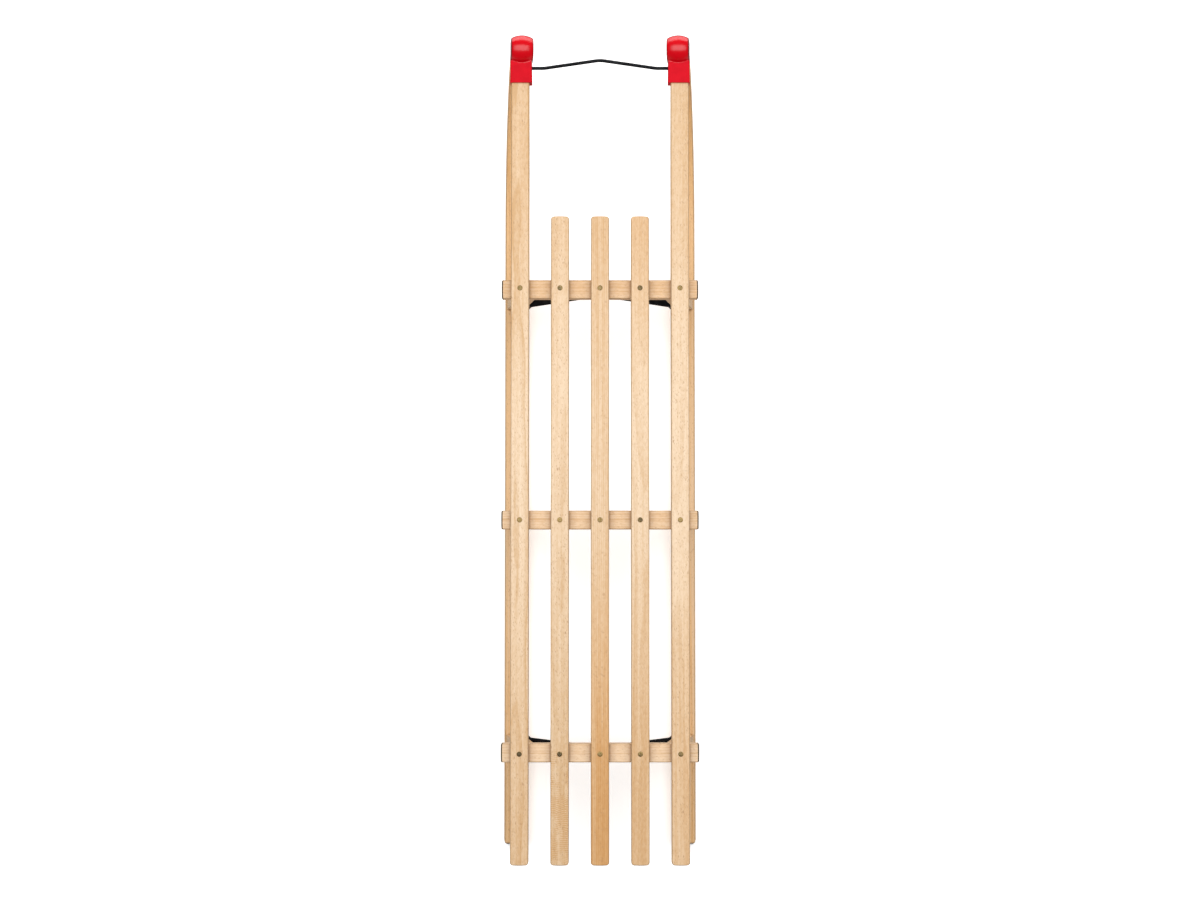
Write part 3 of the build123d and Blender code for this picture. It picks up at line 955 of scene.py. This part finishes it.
def cross_cutter(span, width, depth):
    """A tapering cross that stands on the origin and reaches down by depth."""
    start_piece()
    above = 0.001
    centre = (0, 0, (above - depth) / 2)
    bpy.ops.mesh.primitive_cube_add(size=1, location=centre)
    bpy.ops.object.mode_set(mode="EDIT")
    bpy.ops.transform.resize(value=(span, width, above + depth), center_override=centre)
    pick("FACE", is_cap(-depth))
    foot = (0.35, 0.6, 1)
    bpy.ops.transform.resize(value=foot)
    bpy.ops.mesh.select_all(action="SELECT")
    bpy.ops.mesh.duplicate()
    bpy.ops.transform.rotate(value=math.pi / 2, orient_axis="Z", center_override=(0, 0, 0))
    bpy.ops.object.mode_set(mode="OBJECT")
    return bpy.context.object


def cut_cross(piece, head, shares, top):
    """Cuts a cross recess, sized in shares of the head's diameter, into the top of a screw."""
    cutter = cross_cutter(*(head * share for share in shares))
    cutter.data.transform(Matrix.Translation((0, 0, top)))
    combine(piece, cutter, "DIFFERENCE", crossing=True)


def countersunk_screw(name, head, neck, depth, tail):
    """A countersunk screw, its head's flat top on the origin and its shank down along -Z.

    The head narrows over depth to neck times its diameter, and the shank goes on for tail.
    """
    open_disc(head, -depth, 0)
    pick("FACE", is_cap(-depth))
    bpy.ops.transform.resize(value=(neck, neck, 1))
    grow(-tail, 1.0)
    pick("EDGE", is_rim(2, 0.0))
    round_edges(head * 0.025, 2)
    piece = finish_piece(name)
    cut_cross(piece, head, FLAT_CROSS, 0.0)
    smooth(piece)
    return piece


def round_head_screw(name, head):
    """A round-headed screw, its seat on the origin and its dome up along +Z."""
    rim, dome, steps = head * 0.10, head * 0.26, 6
    open_disc(head, 0, rim)
    pick("FACE", is_cap(rim))
    last_rise, last_width = 0.0, 1.0
    for step in range(1, steps + 1):
        turn = math.pi / 2 * step / (steps + 1)
        rise, width = dome * math.sin(turn), math.cos(turn)
        grow(rise - last_rise, width / last_width)
        last_rise, last_width = rise, width
    piece = finish_piece(name)
    cut_cross(piece, head, ROUND_CROSS, rim + last_rise)
    smooth(piece)
    return piece


def set_out(pattern, name, place, turn, material):
    """A copy of a pattern piece, its place in its own mesh, riding on the sled."""
    piece = copy_of(pattern)
    piece.name = name
    piece.data.name = name
    piece.data.transform(place @ Matrix.Rotation(math.radians(turn), 4, "Z"))
    piece.data.materials.clear()
    piece.data.materials.append(material)
    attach(piece, BODY)
    return piece


def facing(point, direction):
    """A matrix that puts the origin at a point and turns +Z to a direction."""
    return Matrix.Translation(point) @ Vector(direction).to_track_quat("Z", "Y").to_matrix().to_4x4()


def drop_pattern(pattern):
    """Removes a pattern piece once its copies are out."""
    bpy.data.meshes.remove(pattern.data)


def set_screw(pattern, name, point, outward, turn):
    """A zinc screw at a point, its head facing outward and turned by some degrees."""
    zinc = bpy.data.materials.get("yellow_zinc") or zinc_material()
    set_out(pattern, name, facing(point, outward), turn, zinc)


# ---------------------------------------------------------------- operators


class SLED_OT_node_groups(Operator):
    """Make the node groups that the finishes share."""

    bl_idname = "sled.node_groups"
    bl_label = "Shared node groups"

    def execute(self, context):
        make_bend_grain()
        make_beech_figure()
        make_faces()
        make_contact_shade()
        make_edge_wear()
        make_moulded_texture()
        make_scratches()
        return {"FINISHED"}


class SLED_OT_seat(Operator):
    """Give the rails and slats their beech."""

    bl_idname = "sled.seat"
    bl_label = "Seat bars"

    def execute(self, context):
        finishes = {
            "rail_left": dict(pith=(0.112, 0.3, -0.15), tone=-0.04, heart=(0, 0.1, 0.2)),
            "slat_left": dict(pith=(0.050, 1.7, -0.14), tone=0.02, flecks=1.2, curl=1.0),
            "slat_centre": dict(pith=(0.085, 2.9, -0.19), tone=0.13, flecks=0.5, heart=(0.05, 0.1, 1.0)),
            "slat_right": dict(pith=(-0.060, 4.1, -0.16), tone=0.04, flecks=0.8, heart=(0, 0.4, 0.35)),
            "rail_right": dict(pith=(-0.100, 5.3, -0.14), tone=-0.08, heart=(0, 0, 0.4)),
        }
        for node, finish in finishes.items():
            dress(node, beech_material(f"beech_{node}", "Y", **finish))
        return {"FINISHED"}


class SLED_OT_beams(Operator):
    """Give the crossbeams their beech."""

    bl_idname = "sled.beams"
    bl_label = "Crossbeams"

    def execute(self, context):
        for number, place in enumerate(BEAMS):
            y = middle(f"crossbeam_{place}").y
            pith = (y + 0.07, 0.4 + 1.3 * number, -0.27)  # each from another place along the tree
            tone = -0.4 if place == "rear" else 0.12
            finish = dict(tone=tone, flecks=0.5, heart=(0.15, 0, 0), end_rim_grain_and_shade=0.95)
            dress(f"crossbeam_{place}", beech_material(f"beech_beam_{place}", "X", pith, **finish))
        return {"FINISHED"}


class SLED_OT_legs(Operator):
    """Give the legs their beech."""

    bl_idname = "sled.legs"
    bl_label = "Legs"

    def execute(self, context):
        for row, place in enumerate(BEAMS):
            for side, sign in SIDES.items():
                node = f"leg_{place}_{side}"
                pith = (0.05 - middle(node).x, 0.7 * row + 0.31 * sign, 0.06 - middle(node).y)
                dress(node, beech_material(f"beech_{node}", "Z", pith, tone=0.1))
        return {"FINISHED"}


class SLED_OT_runners(Operator):
    """Give the runners their bent beech."""

    bl_idname = "sled.runners"
    bl_label = "Runners"

    def execute(self, context):
        for side, sign in SIDES.items():
            node = f"runner_{side}"
            pith = (-0.09 * sign, 6.1 + sign, 0.05)
            finish = dict(tone=-0.5, flecks=0.8, heart=(0.75, 1.0, 0.3))
            dress(node, beech_material(f"beech_{node}", "bend", pith, **finish))
        return {"FINISHED"}


class SLED_OT_caps(Operator):
    """Mould the two tip caps in red plastic."""

    bl_idname = "sled.caps"
    bl_label = "Tip caps"

    def execute(self, context):
        material = cap_material()
        pattern = moulded_cap()
        for side, sign in SIDES.items():
            place = Matrix.Scale(sign, 4, (1, 0, 0))
            piece = set_out(pattern, f"moulded_cap_{side}", place, 0, material)
            if sign < 0:
                piece.data.flip_normals()
            apply_modifier(piece, "WEIGHTED_NORMAL", keep_sharp=True, weight=100)
            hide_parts(f"tip_cap_{side}")
        drop_pattern(pattern)
        return {"FINISHED"}


class SLED_OT_steelwork(Operator):
    """Give the pull bow, the braces and the soles their steel."""

    bl_idname = "sled.steelwork"
    bl_label = "Bow, braces and soles"

    def execute(self, context):
        dress("pull_bow", black_material("black_gloss", 0.0006, 0.34))
        satin = black_material("black_satin", 0.0005, 0.38)
        for place in BEAMS:
            dress(f"brace_{place}", satin)
        bright = sole_material()
        for side in SIDES:
            dress(f"runner_sole_{side}", bright)
        return {"FINISHED"}


class SLED_OT_seat_screws(Operator):
    """Put a countersunk screw into each hole of the seat."""

    bl_idname = "sled.seat_screws"
    bl_label = "Seat screws"

    def execute(self, context):
        sizes = context.scene.sled_screws
        pattern = countersunk_screw("seat_screw", sizes.seat_head, neck=0.56, depth=0.0027, tail=0.007)
        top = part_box("rail_right")[1].z - sizes.seat_sink
        for row, place in enumerate(BEAMS):
            for number, bar in enumerate(BARS):
                point = (middle(bar).x, middle(f"crossbeam_{place}").y, top)
                turn = (37 * number + 61 * row) % 90  # each cross stands another way
                set_screw(pattern, f"seat_screw_{place}_{bar}", point, (0, 0, 1), turn)
        drop_pattern(pattern)
        return {"FINISHED"}


class SLED_OT_brace_screws(Operator):
    """Put round-headed screws on the braces, at the beams and at the legs."""

    bl_idname = "sled.brace_screws"
    bl_label = "Brace screws"

    def execute(self, context):
        sizes = context.scene.sled_screws
        pattern = round_head_screw("brace_screw", sizes.brace_head)
        for place in BEAMS:
            brace = f"brace_{place}"
            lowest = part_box(brace)[0].z
            y = middle(brace).y
            for side, sign in SIDES.items():
                below = (sign * sizes.beam_screw, y, lowest - 0.01)
                point, outward = surface(brace, below, (0, 0, 1))
                set_screw(pattern, f"beam_screw_{place}_{side}", point, outward, 20 + 30 * sign)
                inside = (0, y, lowest + sizes.tab_screw)
                point, outward = surface(brace, inside, (sign, 0, 0))
                set_screw(pattern, f"leg_screw_{place}_{side}", point, outward, 50 - 20 * sign)
        drop_pattern(pattern)
        return {"FINISHED"}


class SLED_OT_sole_screws(Operator):
    """Put a countersunk screw into each hole of the soles."""

    bl_idname = "sled.sole_screws"
    bl_label = "Sole screws"

    def execute(self, context):
        sizes = context.scene.sled_screws
        pattern = countersunk_screw("sole_screw", sizes.sole_head, neck=0.55, depth=0.0013, tail=0.004)
        for side in SIDES:
            sole = f"runner_sole_{side}"
            for number, (y, z, turn) in enumerate(sole_screw_places(sole)):
                outward = Vector((0, math.sin(turn), -math.cos(turn)))
                point = Vector((sole_middle_x(sole, z), y, z)) - outward * sizes.sole_sink
                set_screw(pattern, f"sole_screw_{side}_{number}", point, outward, 31 * number % 90)
        drop_pattern(pattern)
        return {"FINISHED"}


class SLED_OT_stage(Operator):
    """Set the floor, the lights, the room and the camera."""

    bl_idname = "sled.stage"
    bl_label = "Stage"

    def execute(self, context):
        stage = context.scene.sled_stage
        floor_height, card_height = -0.0005, 0.01
        start_piece()
        bpy.ops.mesh.primitive_plane_add(size=stage.floor, location=(0, 0, floor_height))
        floor = bpy.context.object
        floor.name = "floor"
        material, tree, shader, place = new_material("pale_floor")
        pale = mix_colour(tree, noise(tree, place, (2, 2, 2)), (0.90, 0.90, 0.90), (0.94, 0.94, 0.94))
        mirrored = put(tree, "LightPath").outputs["Is Glossy Ray"]  # a reflection sees a darker floor
        inputs = {
            "Base Color": mix_colour(tree, mirrored, pale, (0.25, 0.25, 0.25)),
            "Emission Color": (1, 1, 1, 1),
            "Emission Strength": add_up(tree, stage.glow, (mirrored, -0.9 * stage.glow)),
            "Roughness": 0.9,
            "Specular IOR Level": 0.2,
        }
        fill(tree, shader, inputs)
        floor.data.materials.append(material)

        over = (0, stage.key_ahead, stage.key_height)
        add_light("key_light", stage.key, (stage.key_width, stage.key_depth), over, (0, 0, 0))
        ahead = (0, stage.front_away, stage.front_height / 2)
        size = (stage.front_width, stage.front_height)
        add_light("front_light", stage.front, size, ahead, (-math.pi / 2, 0, 0))
        size = (stage.front_width, stage.front_away - stage.card_near)
        before = (0, (stage.front_away + stage.card_near) / 2, card_height)
        add_light("card_light", stage.card, size, before, (math.pi, 0, 0))

        world = bpy.data.worlds.new("room")
        world.use_nodes = True
        room = world.node_tree
        rays = put(room, "LightPath").outputs
        seen = (rays["Is Camera Ray"], 1.0 - stage.room)
        mirrored = (rays["Is Glossy Ray"], -0.85 * stage.room)
        lit = add_up(room, stage.room, seen, mirrored)
        fill(room, room.nodes["Background"], {"Color": (1, 1, 1, 1), "Strength": lit})
        context.scene.world = world

        bpy.ops.object.camera_add(
            location=(0, -stage.camera_back, stage.camera_height), rotation=(stage.camera_tilt, 0, 0)
        )
        camera = bpy.context.object
        camera.name = "camera"
        camera.data.lens = stage.lens
        camera.data.sensor_width = 36
        camera.data.clip_end = 100
        context.scene.camera = camera
        context.scene.view_settings.view_transform = "Standard"
        context.scene.view_settings.look = "None"
        return {"FINISHED"}


def add_light(name, power, size, place, turn):
    """A soft rectangular light."""
    bpy.ops.object.light_add(type="AREA", location=place, rotation=turn)
    light = bpy.context.object
    light.name = name
    light.data.energy = power
    light.data.shape = "RECTANGLE"
    light.data.size, light.data.size_y = size
    light.visible_camera = False


OPERATORS = (
    SLED_OT_node_groups,
    SLED_OT_seat,
    SLED_OT_beams,
    SLED_OT_legs,
    SLED_OT_runners,
    SLED_OT_caps,
    SLED_OT_steelwork,
    SLED_OT_seat_screws,
    SLED_OT_brace_screws,
    SLED_OT_sole_screws,
    SLED_OT_stage,
)


class SLED_PT_finish(Panel):
    """The sled's sizes, colours and steps."""

    bl_label = "Wooden Sled"
    bl_idname = "SLED_PT_finish"
    bl_space_type = "VIEW_3D"
    bl_region_type = "UI"
    bl_category = "Sled"

    def draw(self, context):
        layout = self.layout
        for name, group in SETTINGS.items():
            box = layout.box()
            box.label(text=group.__doc__)
            for prop in group.__annotations__:
                box.prop(getattr(context.scene, name), prop)
        for operator in OPERATORS:
            layout.operator(operator.bl_idname)


SETTINGS = {
    "sled_wood": SledWood,
    "sled_plastic": SledPlastic,
    "sled_steel": SledSteel,
    "sled_screws": SledScrews,
    "sled_stage": SledStage,
}


def register():
    for cls in (*SETTINGS.values(), *OPERATORS, SLED_PT_finish):
        bpy.utils.register_class(cls)
    for name, group in SETTINGS.items():
        setattr(bpy.types.Scene, name, PointerProperty(type=group))


def unregister():
    for name in SETTINGS:
        delattr(bpy.types.Scene, name)
    for cls in reversed((*SETTINGS.values(), *OPERATORS, SLED_PT_finish)):
        bpy.utils.unregister_class(cls)


def main():
    """Runs every step in order."""
    register()
    for operator in OPERATORS:
        step = operator.bl_idname.split(".")[1]
        getattr(bpy.ops.sled, step)()


if __name__ == "__main__":
    main()
